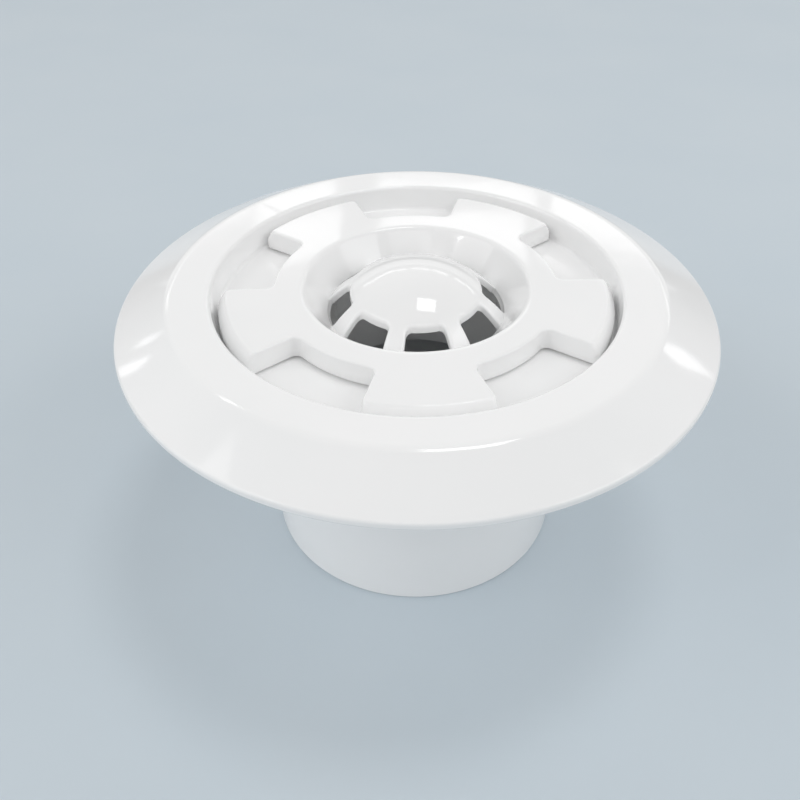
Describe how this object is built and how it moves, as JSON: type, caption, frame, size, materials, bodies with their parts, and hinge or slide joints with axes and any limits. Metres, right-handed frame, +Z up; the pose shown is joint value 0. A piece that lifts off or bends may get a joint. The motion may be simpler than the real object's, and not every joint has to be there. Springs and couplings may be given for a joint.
{
  "type": "adjustable pool return inlet",
  "caption": "Round pool return inlet with a bevelled face flange, a lobed regulating wheel with a slotted dome, and a plain pipe socket below.",
  "frame": {"origin": "centre of the pipe socket's lower rim, which the fitting stands on", "axes": "+Z up the fitting's axis towards the pool's water, -Y the front in the usual view, +X to the right"},
  "size_m": [0.136, 0.136, 0.0713],
  "materials": {
    "white_abs": "gloss white injection-moulded ABS",
    "acetal": "natural white acetal, satin",
    "rubber": "black EPDM",
    "steel": "plain stainless steel"
  },
  "bodies": {
    "socket": {"pipe_socket": "white_abs", "thread_bush": "acetal", "flange_gasket": "rubber", "face_flange": "white_abs", "flange_screw_1": "steel", "flange_screw_2": "steel", "flange_screw_3": "steel", "flange_screw_4": "steel", "flange_screw_5": "steel", "flange_screw_6": "steel"},
    "lift": {"plug_oring": "rubber"},
    "wheel": {"regulating_wheel": "white_abs", "threaded_sleeve": "white_abs", "stop_ring": "acetal"}
  },
  "joints": [
    {"name": "wheel_lift", "type": "slide", "parent": "socket", "child": "lift", "axis": [0, 0, 1], "range_m": [-0.00011, 0.00601]},
    {"name": "wheel_turn", "type": "hinge", "parent": "lift", "child": "wheel", "pos_m": [0, 0, 0.063], "axis": [0, 0, 1], "range_deg": [-9, 540]}
  ],
  "couplings": [
    {"joint": "wheel_lift", "follows": "wheel_turn", "m_per_rad": 0.00063662}
  ]
}
